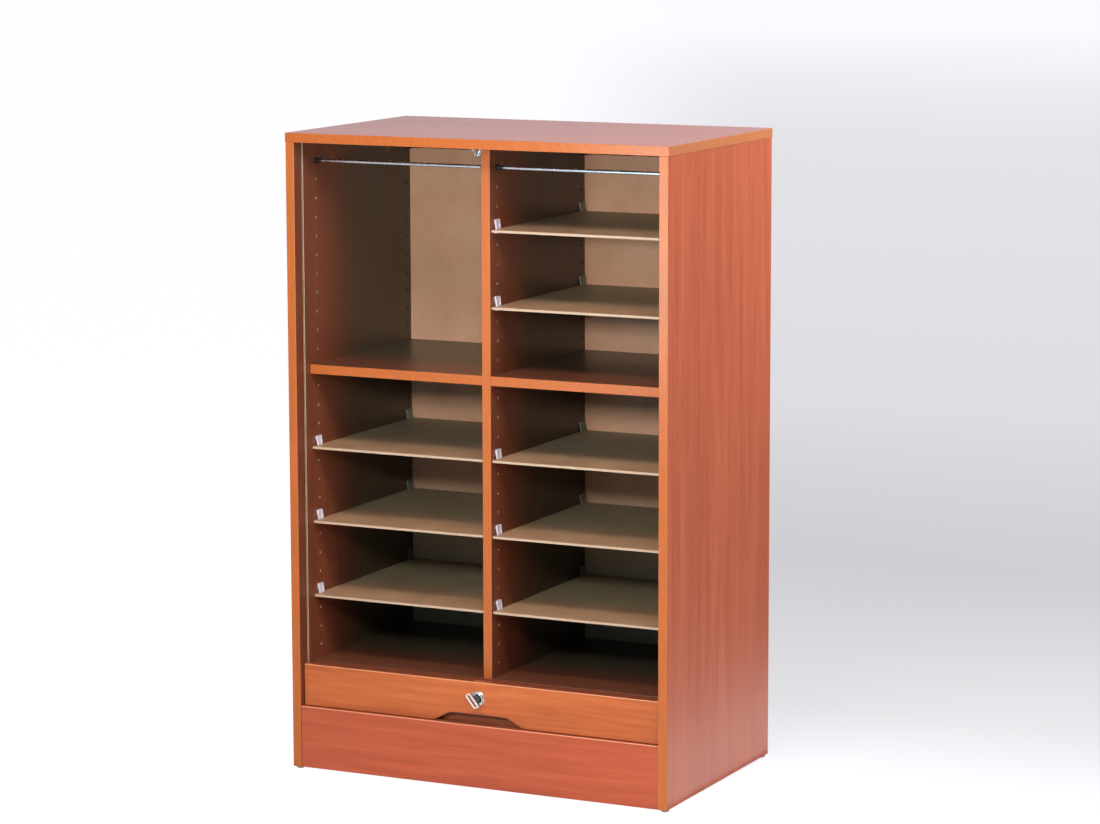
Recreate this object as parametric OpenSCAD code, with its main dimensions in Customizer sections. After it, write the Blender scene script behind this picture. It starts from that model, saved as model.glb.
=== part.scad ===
// Low tambour door cabinet with two bays: a wooden case, a centre divider,
// fixed shelves, thin adjustable trays on clips, rods for hanging files, and
// a slatted curtain behind a lead rail that rises from the plinth to the top.
// Depths are counted back from the front edge of the side panels.

/* [Cabinet] */
// Overall width, across the top panel
cab_w = 702; // [642:2:782]
// Overall depth, front edge to back edge
cab_d = 428; // [412:1:470]
// Overall height, floor to top surface
cab_h = 1088; // [1056:32:1120]
// Thickness of the boards
board = 16; // [16:0.5:18]
// How far the top panel stands past each side panel
overhang = 1; // [0:0.5:3]
// Height of the glides under the side panels
foot_h = 4; // [3:0.5:6]

/* [Front] */
// Height of the plinth's top edge above the floor
plinth_top = 110.5; // [105:0.5:110.5]
// How far the lead rail is set back from the front edge
rail_set = 10; // [9:0.5:10]
// Height of the lead rail
rail_h = 71.5; // [70:0.5:73]
// Width of the finger scoop at its mouth
scoop_w = 165; // [155:1:200]
// Width of the flat top of the finger scoop
scoop_flat = 93; // [50:1:100]
// Height of the finger scoop
scoop_h = 16; // [10:0.5:18]

/* [Bays] */
// Depth at which floor panel, divider and fixed shelves begin
bay_front = 47.5; // [47:0.5:50]
// Height of the floor panel's top surface
floor_top = 181; // [179:0.5:182]
// Spacing of the shelf pin holes
pitch = 32; // [30:1:32]
// Diameter of the shelf pin holes
pin_d = 5; // [5:0.1:5.5]
// Thickness of the adjustable trays
tray_t = 4; // [3:0.5:5]
// Diameter of the file rods
rod_d = 6; // [5:0.5:6]

/* [Curtain] */
// Height of one slat with its gap
slat_pitch = 20; // [18:0.5:20]
// Thickness of one slat
slat_t = 2.2; // [1.5:0.1:2.2]
// Thickness of the canvas behind the slats
canvas_t = 0.7; // [0.4:0.1:0.7]

/* [Lock] */
// Angle of the key's bow, from level, upper left to lower right
key_angle = 51; // [0:1:90]
// How far the key stands out of the rail's face
key_reach = 28.5; // [27:0.5:34]
// Diameter of the rosette
rosette_d = 25; // [22:0.5:26]

/* [Hidden] */
$fn = 48;

// half widths: outside and inside faces of the side panels, half the divider
so = cab_w/2 - overhang;
si = so - board;
dv = board/2;
// underside of the top panel
zt = cab_h - board;
// the key stands proud in front, so the front edge is placed to centre the whole depth
fy = -(cab_d - (key_reach - rail_set))/2;
// shelf pin rows, counted down from the top: row -1 holds the file rods
function row_z(k) = zt - 67 - pitch*k;
front_col = 73;
rear_col = front_col + 324;
rows = [-1:25];
// trays hang this far below their pin row
tray_drop = 5.5;
left_rows = [14, 18, 22];
right_rows = [2, 6, 14, 18, 22];
fixed_row = 10;
// back panels
ib0 = cab_d - 17.4;
ib1 = ib0 + 3;
ob0 = cab_d - 3.5;
ob1 = cab_d - 0.5;
// curtain track, centre line: down the front, under the floor panel, up behind the inner back
tf = rail_set + board + 2;
tr = (ib1 + ob0)/2;
tb = 30;
tR = 45;
track_w = 4.8;
track_deep = 7;
liner_wall = 0.7;
// lead rail
rail_z0 = plinth_top + 0.5;
rail_z1 = rail_z0 + rail_h;
rail_back = rail_set + board;
rx = si - 2;
// lock axis
lz = rail_z1 - 28;
// curtain leaves, stepping back one layer each
layer = slat_t + canvas_t + 0.5;
leaf_z0 = 8;
leaf_x = si - 1;
// strike: height of the cross bar above the lock axis when the rail is up
travel = zt - 1 - rail_z1;
bar_z = lz + travel + 17;

wood = [0.72, 0.38, 0.26];
edge = [0.85, 0.48, 0.29];
tan_board = [0.70, 0.58, 0.46];
steel = [0.82, 0.83, 0.85];
black = [0.08, 0.08, 0.09];
pale = [0.85, 0.85, 0.88];

// ---- helpers: boxes and round bars placed by x, depth and height ----
module bx(x0, x1, d0, d1, z0, z1) translate([x0, fy + d0, z0]) cube([x1 - x0, d1 - d0, z1 - z0]);
module bar_x(x0, x1, d, z, r) translate([x0, fy + d, z]) rotate([0, 90, 0]) cylinder(h = x1 - x0, r = r);
module bar_y(x, d0, d1, z, r) translate([x, fy + d1, z]) rotate([90, 0, 0]) cylinder(h = d1 - d0, r = r);
module bar_z(x, d, z0, z1, r) translate([x, fy + d, z0]) cylinder(h = z1 - z0, r = r);
// profile drawn as (depth, height), drawn out along x
module along_x(x0, x1) translate([x0, fy, 0]) rotate([90, 0, 90]) linear_extrude(x1 - x0) children();
// profile drawn as (x, height), drawn out along the depth
module along_y(d0, d1) translate([0, fy + d1, 0]) rotate([90, 0, 0]) linear_extrude(d1 - d0) children();

// ---- curtain track ----
// area enclosed by the track's centre line, moved outwards by o
module track_area(o, top) {
  R = tR + o;
  translate([tf - o, tb + tR]) square([tr - tf + 2*o, top - tb - tR]);
  translate([tf + tR, tb - o]) square([tr - tf - 2*tR, top - tb + o]);
  translate([tf + tR, tb + tR]) circle(R, $fn = 96);
  translate([tr - tR, tb + tR]) circle(R, $fn = 96);
}
module track_band(w, top) difference() {
  track_area(w/2, top);
  track_area(-w/2, top + 5);
}

// ---- fastener places: c is extra radius, so that one module makes part and bore ----
side_dowel_depths = [60, cab_d - 48];
top_cam_depths = [130, cab_d - 98];
floor_dowel_depths = [90, cab_d - 78];
floor_cam_depths = [150, cab_d - 128];
shelf_dowel_depths = [110, cab_d - 78];
divider_dowel_depths = [110, cab_d - 78];
plinth_dowel_z = [30, plinth_top - 25.5];
plinth_cam_z = 57;
dr = 4;
// dowels of the left half; the right half is mirrored
module left_dowels(c = 0) {
  for (d = side_dowel_depths) bar_z(-(so + si)/2, d, zt - 18 - c, zt + 10 + c, dr + c);
  for (d = floor_dowel_depths) bar_x(-si - 12 - c, -si + 18 + c, d, floor_top - board/2, dr + c);
  for (z = plinth_dowel_z) bar_x(-si - 12 - c, -si + 18 + c, board/2, z, dr + c);
  for (d = shelf_dowel_depths) bar_x(-si - 12 - c, -si + 18 + c, d, row_z(fixed_row), dr + c);
}
module middle_dowels(c = 0) {
  for (d = divider_dowel_depths) {
    bar_z(0, d + 30, zt - 16 - c, zt + 10 + c, dr + c);
    bar_z(0, d, floor_top - 12 - c, floor_top + 16 + c, dr + c);
    bar_x(-dv - 16 - c, dv + 16 + c, d, row_z(fixed_row), dr + c);
  }
}
module all_dowels(c = 0) {
  left_dowels(c);
  mirror([1, 0, 0]) left_dowels(c);
  middle_dowels(c);
}
cam_r = 7.5;
cam_l = 12.3;
cam_in = 34;
// cam housings of the left half, as plain discs
module left_cam_discs(c = 0) {
  for (d = top_cam_depths) bar_x(-si - cam_l - c, -si - 0.1 + 11*c, d, zt - cam_in, cam_r + c);
  for (d = floor_cam_depths) bar_z(-si + cam_in, d, floor_top - board + 0.1 - 11*c, floor_top - board + cam_l + c, cam_r + c);
  bar_y(-si + cam_in, board - cam_l - c, board - 0.1 + 11*c, plinth_cam_z, cam_r + c);
}
// cam bolts of the left half: a shaft in the cam's board and a thread in the other board
module left_cam_bolts(c = 0) {
  for (d = top_cam_depths) {
    bar_z(-(so + si)/2, d, zt - cam_in - 2 - c, zt, 3 + c);
    bar_z(-(so + si)/2, d, zt - 1, zt + 10.5 + c, 2.5 + c);
  }
  for (d = floor_cam_depths) {
    bar_x(-si, -si + cam_in + 2 + c, d, floor_top - board/2, 3 + c);
    bar_x(-si - 10.5 - c, -si + 1, d, floor_top - board/2, 2.5 + c);
  }
  bar_x(-si, -si + cam_in + 2 + c, board/2, plinth_cam_z, 3 + c);
  bar_x(-si - 10.5 - c, -si + 1, board/2, plinth_cam_z, 2.5 + c);
}
screw_z = [for (i = [0:5]) 40 + i*(cab_h - 88)/5];
screw_x = so - 6.2;

// ---- case ----
module left_side_solid() {
  difference() {
    bx(-so, -si, 0, cab_d, foot_h, zt);
    // groove for the curtain track
    along_x(-si - track_deep - 0.05, -si + 1) track_band(track_w + 0.1, zt + 2);
    // shelf pin holes, two columns
    for (k = rows, d = [front_col, rear_col]) bar_x(-si - 10, -si + 1, d, row_z(k), pin_d/2);
    // groove for the inner back panel
    bx(-si - 5, -si + 1, ib0 - 0.1, ib1 + 0.1, floor_top - board - 6, zt + 1);
    // rebate for the outer back panel
    bx(-si - 13.4, -si + 1, ob0, cab_d + 1, foot_h - 1, zt + 1);
    left_dowels(0.05);
    left_cam_discs(0.1);
    left_cam_bolts(0.1);
    // pilot holes for the back screws
    for (z = screw_z) bar_y(-screw_x, ob0 - 12.3, ob0 + 1, z, 1.75);
    // sockets for the glides' spigots
    for (d = [11, cab_d - 12]) bar_z(-(so + si)/2, d, foot_h - 1, foot_h + 12.1, 1.55);
  }
}
module left_side_panel() { color(wood) left_side_solid(); }
module right_side_panel() { color(wood) mirror([1, 0, 0]) left_side_solid(); }

module top_panel() {
  color(wood) difference() {
    bx(-cab_w/2, cab_w/2, 0, cab_d, zt, cab_h);
    all_dowels(0.05);
    left_cam_bolts(0.1);
    mirror([1, 0, 0]) left_cam_bolts(0.1);
    // recess for the strike plate and holes for its screws
    bx(-15.1, 15.1, 10.9, 27.1, zt - 1, zt + 1.5);
    for (s = [-1, 1]) bar_z(s*11.5, 19, zt, zt + 12.1, 1.55);
  }
}

module floor_panel() {
  color(wood) difference() {
    bx(-si, si, bay_front, ib0, floor_top - board, floor_top);
    all_dowels(0.05);
    for (m = [0, 1]) mirror([m, 0, 0]) {
      left_cam_discs(0.1);
      left_cam_bolts(0.1);
    }
  }
}

module plinth() {
  color(wood) difference() {
    bx(-si, si, 0.8, board, foot_h, plinth_top);
    all_dowels(0.05);
    for (m = [0, 1]) mirror([m, 0, 0]) {
      left_cam_discs(0.1);
      left_cam_bolts(0.1);
    }
  }
}

module centre_divider() {
  color(wood) difference() {
    bx(-dv, dv, bay_front, ib0, floor_top, zt);
    for (k = rows, d = [front_col, rear_col]) if (k != fixed_row) bar_x(-dv - 1, dv + 1, d, row_z(k), pin_d/2);
    middle_dowels(0.05);
  }
}

// shelf that closes off the upper part of the left bay
module fixed_shelf_solid() {
  difference() {
    bx(-si, -dv, bay_front, ib0, row_z(fixed_row) - board/2, row_z(fixed_row) + board/2);
    left_dowels(0.05);
    middle_dowels(0.05);
  }
}
module fixed_shelf_left() { color(wood) fixed_shelf_solid(); }
module fixed_shelf_right() { color(wood) mirror([1, 0, 0]) fixed_shelf_solid(); }

module inner_back_panel() {
  color(tan_board) bx(-si - 4.7, si + 4.7, ib0, ib1, floor_top - board - 5, zt - 0.3);
}
module outer_back_panel() {
  color(tan_board) difference() {
    bx(-si - 13, si + 13, ob0, ob1, foot_h + 2, zt - 0.3);
    for (z = screw_z, s = [-1, 1]) {
      bar_y(s*screw_x, ob0 - 1, ob1 + 1, z, 1.6);
      translate([s*screw_x, fy + ob1 - 1.6, z]) rotate([-90, 0, 0]) cylinder(h = 1.7, r1 = 1.6, r2 = 3.15);
    }
  }
}
module back_screws() {
  color(steel) for (z = screw_z, s = [-1, 1]) difference() {
    union() {
      bar_y(s*screw_x, ob0 - 12, ob1 - 1.5, z, 1.5);
      translate([s*screw_x, fy + ob1 - 1.6, z]) rotate([-90, 0, 0]) cylinder(h = 1.6, r1 = 1.5, r2 = 3);
    }
    // cross recess in the head
    bx(s*screw_x - 0.4, s*screw_x + 0.4, ob1 - 1.1, ob1 + 1, z - 1.6, z + 1.6);
    bx(s*screw_x - 1.6, s*screw_x + 1.6, ob1 - 1.1, ob1 + 1, z - 0.4, z + 0.4);
  }
}

module wood_dowels() { color([0.85, 0.72, 0.5]) all_dowels(); }
module cam_housings() {
  color([0.7, 0.7, 0.68]) for (m = [0, 1]) mirror([m, 0, 0]) difference() {
    left_cam_discs();
    left_cam_bolts(0.1);
  }
}
module cam_bolts() {
  color(steel) for (m = [0, 1]) mirror([m, 0, 0]) left_cam_bolts();
}

module glide_feet() {
  color([0.45, 0.45, 0.47]) for (s = [-1, 1], d = [11, cab_d - 12]) translate([s*(so + si)/2, fy + d, 0]) rotate_extrude()
    polygon([[0, 0], [5.6, 0], [7, 1.2], [7, foot_h], [1.5, foot_h], [1.5, foot_h + 12], [0, foot_h + 12]]);
}

module track_liner_solid() {
  difference() {
    along_x(-si - track_deep, -si) track_band(track_w, zt - 0.3);
    along_x(-si - track_deep + liner_wall, -si + 1) track_band(track_w - 2*liner_wall, zt + 2);
  }
}
module track_liner_left() { color([0.80, 0.68, 0.56]) track_liner_solid(); }
module track_liner_right() { color([0.80, 0.68, 0.56]) mirror([1, 0, 0]) track_liner_solid(); }

// ---- trays and clips ----
tray_gap = 0.7;
clip_web = 1.5;
// a bay's tray, seen in the right bay; r is its pin row
module tray(r, side) {
  z1 = row_z(r) - tray_drop;
  x0 = dv + tray_gap;
  x1 = si - tray_gap;
  color(tan_board) mirror([side, 0, 0]) difference() {
    bx(x0, x1, 51.4, ib0 - 0.4, z1 - tray_t, z1);
    // notches that the clips' webs stand in
    for (d = [front_col, rear_col]) {
      bx(x0 - 1, dv + 2, d - 3.5, d + 3.5, z1 - tray_t - 1, z1 + 1);
      bx(si - 2, x1 + 1, d - 3.5, d + 3.5, z1 - tray_t - 1, z1 + 1);
    }
  }
}
// one clip on a wall at x = 0 that faces +x, with its pin's axis at the origin
module clip() {
  // pin
  translate([-7.4, 0, 0]) rotate([0, 90, 0]) cylinder(h = 9.9, r = pin_d/2 - 0.06);
  // tongue above the tray, leaning away from the wall, with a shallow hollow in its face
  difference() {
    translate([0, 5, 0]) rotate([90, 0, 0]) linear_extrude(15)
      polygon([[0, 10.8], [2.7, 10.8], [3.1, 10.3], [5, -tray_drop + 0.4], [2.4, -tray_drop + 0.4], [0.5, 5], [0, 5]]);
    translate([0, 3.2, 0]) rotate([90, 0, 0]) linear_extrude(11.4)
      polygon([[2.6, 8.8], [10, 8.8], [10, -2.5], [3.8, -2.5]]);
  }
  // web through the tray's notch, and the lip under the tray
  translate([0, -3, -tray_drop - tray_t - 1]) cube([clip_web, 6, tray_drop + tray_t + 5]);
  translate([0, -10, -tray_drop - tray_t - 2.5]) cube([5, 15, 2.5]);
}
module bay_clips(rs) {
  for (r = rs, d = [front_col, rear_col]) {
    translate([dv, fy + d, row_z(r)]) clip();
    translate([si, fy + d, row_z(r)]) mirror([1, 0, 0]) clip();
  }
}
module shelf_clips_left() { color(pale) mirror([1, 0, 0]) bay_clips(left_rows); }
module shelf_clips_right() { color(pale) bay_clips(right_rows); }

// ---- file rods ----
sock_l = 12;
module bay_rods() {
  for (d = [front_col, rear_col]) bar_x(dv + 3, si - 3, d, row_z(-1), rod_d/2);
}
module file_rods_left() { color(steel) mirror([1, 0, 0]) bay_rods(); }
module file_rods_right() { color(steel) bay_rods(); }
// socket on a wall at x = 0 that faces +x: flange, barrel, pin and a small upright tab
module rod_socket() {
  difference() {
    union() {
      translate([-7.4, 0, 0]) rotate([0, 90, 0]) cylinder(h = 8, r = pin_d/2 - 0.06);
      rotate([0, 90, 0]) cylinder(h = 1.5, r = 5.4);
      rotate([0, 90, 0]) cylinder(h = sock_l, r = rod_d/2 + 1.1);
      translate([sock_l - 3.4, -1.6, 0]) cube([3.4, 3.2, 10]);
    }
    translate([2.5, 0, 0]) rotate([0, 90, 0]) cylinder(h = sock_l, r = rod_d/2 + 0.05);
  }
}
module rod_sockets() {
  color(black) for (m = [0, 1]) mirror([m, 0, 0]) for (d = [front_col, rear_col]) {
    translate([dv, fy + d, row_z(-1)]) rod_socket();
    translate([si, fy + d, row_z(-1)]) mirror([1, 0, 0]) rod_socket();
  }
}

// ---- strike under the top panel ----
wire_r = 1;
wire_bend = 3.2;
wire_half = 7.5;
strike_depths = [rail_set + 5.5, rail_set + 12.5];
// the wire's lower bend is centred here, its legs lean outwards to the plate
bend_z = bar_z + wire_bend;
leg_h = zt - bend_z;
leg_run = sqrt(leg_h*leg_h + wire_half*wire_half - wire_bend*wire_bend);
leg_a = atan2(leg_h, wire_half) - atan2(leg_run, wire_bend);
module strike_u(d) {
  // leg_a is the direction from the bend's centre to the point where the leg leaves it
  tx = wire_bend*cos(leg_a);
  tz = wire_bend*sin(leg_a);
  lean = atan2(wire_half - tx, leg_h - tz);
  for (s = [-1, 1]) translate([s*tx, fy + d, bend_z + tz]) rotate([0, s*lean, 0]) translate([0, 0, -0.5])
    cylinder(h = leg_run + 2, r = wire_r);
  translate([0, fy + d, bend_z]) rotate([90, 0, 0]) rotate([0, 0, 180 - leg_a]) rotate_extrude(angle = 180 + 2*leg_a)
    translate([wire_bend, 0]) circle(wire_r - 0.04);
}
module strike_loop() {
  color(steel) difference() {
    union() {
      for (d = strike_depths) strike_u(d);
      bar_y(0, strike_depths[0], strike_depths[1], bar_z, wire_r - 0.12);
    }
    bx(-15, 15, 8, 30, zt, zt + 8);
  }
}
module strike_plate() {
  color(steel) difference() {
    bx(-15, 15, 11, 27, zt, zt + 1.45);
    for (s = [-1, 1]) {
      bar_z(s*11.5, 19, zt - 1, zt + 3, 1.6);
      translate([s*11.5, fy + 19, zt - 0.01]) cylinder(h = 1.3, r1 = 2.9, r2 = 1.6);
    }
  }
}
module strike_screws() {
  color(steel) for (s = [-1, 1]) {
    bar_z(s*11.5, 19, zt + 0.5, zt + 12, 1.5);
    translate([s*11.5, fy + 19, zt]) cylinder(h = 1.2, r1 = 2.7, r2 = 1.5);
  }
}

// ---- lead rail ----
// outline of the finger scoop: a flat top, round shoulders and a straight slope each side
function arc(cx, cz, r, a0, a1, n) = [for (i = [0:n]) let (a = a0 + (a1 - a0)*i/n) [cx + r*cos(a), cz + r*sin(a)]];
sc_r = 26;
sc_slope = atan2(scoop_h, (scoop_w - scoop_flat)/2 - 8);
module scoop_outline() {
  z0 = rail_z0;
  half = arc(scoop_flat/2, z0 + scoop_h - sc_r, sc_r, 90, 90 - sc_slope, 10);
  polygon(concat([[-scoop_w/2, z0 - 1], [-scoop_w/2, z0]],
    [for (i = [10:-1:0]) [-half[i][0], half[i][1]]], half, [[scoop_w/2, z0], [scoop_w/2, z0 - 1]]));
}
case_x0 = -24;
case_x1 = 12;
module lead_rail() {
  color(wood) difference() {
    bx(-rx, rx, rail_set, rail_back, rail_z0, rail_z1);
    along_y(rail_set - 1, rail_back + 1) scoop_outline();
    // pocket for the lock case, opened from behind, and the recess of its back plate
    bx(case_x0 - 0.2, case_x1 + 0.2, rail_set + 3.4, rail_back + 1, lz - 18, lz + 24);
    bx(case_x0 - 10.2, case_x1 + 10.2, rail_set + 14.7, rail_back + 1, lz - 15.2, lz + 21.2);
    // slot in the top edge that takes the strike
    bx(-10.5, 10.5, rail_set + 4, rail_set + 14, lz + 20, rail_z1 + 1);
    // bore for the plug
    bar_y(0, rail_set - 1, rail_set + 5, lz, 7.3);
    // pilot holes for the screws of the case and of the guides
    for (x = [case_x0 - 5, case_x1 + 5]) bar_y(x, rail_set + 4.9, rail_back + 1, lz + 3, 1.55);
    for (s = [-1, 1], z = [rail_z1 - 24, rail_z1 - 9]) bar_y(s*(rx - 14), rail_back - 8.1, rail_back + 1, z, 1.3);
  }
}
module rail_guides() {
  color(black) for (m = [0, 1]) mirror([m, 0, 0]) difference() {
    union() {
      bx(-rx, -rx + 26, rail_back, rail_back + 2.9, rail_z1 - 30.5, rail_z1 - 2.5);
      bx(-si - 5.6, -rx + 2, rail_back + 0.6, rail_back + 2.9, rail_z1 - 30.5, rail_z1 - 2.5);
    }
    for (z = [rail_z1 - 24, rail_z1 - 9]) {
      bar_y(-rx + 14, rail_back - 1, rail_back + 4, z, 1.35);
      translate([-rx + 14, fy + rail_back + 1.5, z]) rotate([-90, 0, 0]) cylinder(h = 1.5, r1 = 1.35, r2 = 2.7);
    }
  }
}
module guide_screws() {
  color(steel) for (s = [-1, 1], z = [rail_z1 - 24, rail_z1 - 9]) {
    bar_y(s*(rx - 14), rail_back - 8, rail_back + 1.6, z, 1.25);
    translate([s*(rx - 14), fy + rail_back + 1.5, z]) rotate([-90, 0, 0]) cylinder(h = 1.35, r1 = 1.25, r2 = 2.5);
  }
}

// ---- lock ----
module lock_case() {
  color(steel) difference() {
    union() {
      bx(case_x0, case_x1, rail_set + 3.5, rail_set + 15, lz - 17.8, lz + 23.8);
      bx(case_x0 - 10, case_x1 + 10, rail_set + 14.8, rail_set + 16, lz - 15, lz + 21);
    }
    bx(case_x0 + 1, case_x1 - 1, rail_set + 4.1, rail_set + 14, lz - 16.8, lz + 22.8);
    // the strike's way in
    bx(-10, 10, rail_set + 4.1, rail_set + 14, lz + 22, lz + 25);
    // plug bores, front and back
    bar_y(0, rail_set + 3, rail_set + 5, lz, 7.2);
    bar_y(0, rail_set + 13, rail_set + 17, lz, 5.2);
    for (x = [case_x0 - 5, case_x1 + 5]) {
      bar_y(x, rail_set + 14, rail_set + 17, lz + 3, 1.6);
      translate([x, fy + rail_set + 15, lz + 3]) rotate([-90, 0, 0]) cylinder(h = 1.05, r1 = 1.6, r2 = 2.7);
    }
  }
}
module lock_case_screws() {
  color(steel) for (x = [case_x0 - 5, case_x1 + 5]) {
    bar_y(x, rail_set + 5, rail_set + 15.2, lz + 3, 1.5);
    translate([x, fy + rail_set + 15, lz + 3]) rotate([-90, 0, 0]) cylinder(h = 0.95, r1 = 1.5, r2 = 2.5);
  }
}
module lock_rosette() {
  color(steel) translate([0, fy + rail_set, lz]) rotate([90, 0, 0]) rotate_extrude($fn = 72)
    polygon([[7.4, 0], [rosette_d/2, 0], [rosette_d/2, 0.7], [rosette_d/2 - 0.8, 1.5], [9.6, 1.9], [8.8, 2.6], [7.9, 2.6], [7.4, 2.1]]);
}
// plug: a stepped cylinder with a slot for the key's blade
module lock_plug() {
  color(steel) difference() {
    translate([0, fy + rail_set - 5, lz]) rotate([-90, 0, 0]) rotate_extrude()
      polygon([[0, 0], [6, 0], [7, 1], [7, 12.3], [5, 12.3], [5, 20.6], [0, 20.6]]);
    translate([0, fy + rail_set, lz]) rotate([0, key_angle, 0]) translate([-3.8, -6, -1.35]) cube([7.6, 19.4, 2.7]);
  }
}
// hook: a hub on the plug, an arm, and a curved beak that passes over the strike's bar
function spoke(a, r) = [-r*sin(a), r*cos(a)];
module wedge(a0, a1) polygon(concat([[0, 0]], [for (i = [0:4]) spoke(a0 + (a1 - a0)*i/4, 40)]));
module lock_hook() {
  color(steel) translate([0, fy + rail_set + 10.5, lz]) rotate([90, 0, 0]) linear_extrude(3) difference() {
    union() {
      circle(8);
      intersection() { circle(21.6, $fn = 72); wedge(115, 140); }
      intersection() {
        difference() { circle(21.6, $fn = 72); circle(18.6, $fn = 72); }
        wedge(78, 140);
      }
    }
    circle(5.05);
  }
}
// key outline: across the bow, then outwards from the rail's face
module key_outline() {
  v1 = key_reach;
  // right half of the bow and of its window; the left half is mirrored
  bow = [[5, 5.4], [5, 8.2], [9, 8.8], [12.4, 9.9], [13.6, 11.6], [15.2, v1 - 6], [15, v1 - 3], [13.4, v1 - 0.8], [11, v1]];
  win = [[10.9, v1 - 7.4], [12.1, v1 - 6.4], [12.3, v1 - 4.2], [11, v1 - 2.8], [9.6, v1 - 2.4]];
  function both(h) = concat(h, [for (i = [len(h) - 1:-1:0]) [-h[i][0], h[i][1]]]);
  difference() {
    polygon(concat([[-3.5, 5.4], [-3.5, -11], [-1.5, -13], [1.2, -13], [2.2, -11.6], [3.5, -11], [2.6, -8.6], [3.5, -7],
      [2.4, -5], [3.5, -3], [3.5, 5.4]], both(bow)));
    polygon(both(win));
  }
}
module key() {
  color(steel) translate([0, fy + rail_set, lz]) rotate([0, key_angle, 0]) rotate([180, 0, 0])
    linear_extrude(2.2, center = true) key_outline();
}

// ---- curtain ----
// the flexible curtain is divided into six leaves; leaf 1 hangs on the lead rail
module slat_profile() polygon([[0.35, 0.3], [0, 0.8], [0, slat_pitch - 0.8], [0.35, slat_pitch - 0.3], [slat_t, slat_pitch - 0.3], [slat_t, 0.3]]);
function leaf_depth(n) = rail_back + layer*(n - 1);
function leaf_slats(n) = n == 1 ? 7 : 8;
module curtain_slats(n) {
  color(n % 2 == 0 ? wood : edge) for (i = [0:leaf_slats(n) - 1])
    along_x(-leaf_x, leaf_x) translate([leaf_depth(n), leaf_z0 + slat_pitch*i]) slat_profile();
}
module curtain_canvas(n) {
  color([0.35, 0.3, 0.26]) bx(-leaf_x + 2, leaf_x - 2, leaf_depth(n) + slat_t, leaf_depth(n) + slat_t + canvas_t,
    leaf_z0, leaf_z0 + slat_pitch*leaf_slats(n) + (n == 1 ? 0 : 7));
}

top_panel();
left_side_panel();
right_side_panel();
floor_panel();
plinth();
centre_divider();
fixed_shelf_left();
fixed_shelf_right();
inner_back_panel();
outer_back_panel();
tray(left_rows[0], 1);  // tray_left_1
tray(left_rows[1], 1);  // tray_left_2
tray(left_rows[2], 1);  // tray_left_3
tray(right_rows[0], 0);  // tray_right_1
tray(right_rows[1], 0);  // tray_right_2
tray(right_rows[2], 0);  // tray_right_3
tray(right_rows[3], 0);  // tray_right_4
tray(right_rows[4], 0);  // tray_right_5
shelf_clips_left();
shelf_clips_right();
file_rods_left();
file_rods_right();
rod_sockets();
glide_feet();
strike_plate();
strike_loop();
strike_screws();
track_liner_left();
track_liner_right();
wood_dowels();
cam_housings();
cam_bolts();
back_screws();
lead_rail();
rail_guides();
guide_screws();
lock_case();
lock_case_screws();
lock_rosette();
lock_plug();
lock_hook();
key();
curtain_slats(1);  // curtain_slats_1
curtain_slats(2);  // curtain_slats_2
curtain_slats(3);  // curtain_slats_3
curtain_slats(4);  // curtain_slats_4
curtain_slats(5);  // curtain_slats_5
curtain_slats(6);  // curtain_slats_6
curtain_canvas(1);  // curtain_canvas_1
curtain_canvas(2);  // curtain_canvas_2
curtain_canvas(3);  // curtain_canvas_3
curtain_canvas(4);  // curtain_canvas_4
curtain_canvas(5);  // curtain_canvas_5
curtain_canvas(6);  // curtain_canvas_6
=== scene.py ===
import math

import bpy
from mathutils import Matrix, Vector

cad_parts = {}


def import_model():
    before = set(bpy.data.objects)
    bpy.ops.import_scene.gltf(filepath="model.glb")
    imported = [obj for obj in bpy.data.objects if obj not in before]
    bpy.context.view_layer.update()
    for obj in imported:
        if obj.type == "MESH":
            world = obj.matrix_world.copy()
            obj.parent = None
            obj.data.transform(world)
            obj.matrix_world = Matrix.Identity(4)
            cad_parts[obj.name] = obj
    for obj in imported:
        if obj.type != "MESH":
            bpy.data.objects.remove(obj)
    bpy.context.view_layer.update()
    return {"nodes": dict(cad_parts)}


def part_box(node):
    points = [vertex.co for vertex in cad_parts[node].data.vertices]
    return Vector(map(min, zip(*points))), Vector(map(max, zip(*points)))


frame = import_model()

NODE = frame["nodes"]

# --------------------------------------------------------------------------- small helpers


def lin(r, g, b):
    """A colour given as 0 to 255 on a screen, as a linear colour."""
    out = []
    for v in (r, g, b):
        v = v / 255.0
        out.append(v / 12.92 if v <= 0.04045 else ((v + 0.055) / 1.055) ** 2.4)
    return (out[0], out[1], out[2], 1.0)


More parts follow.
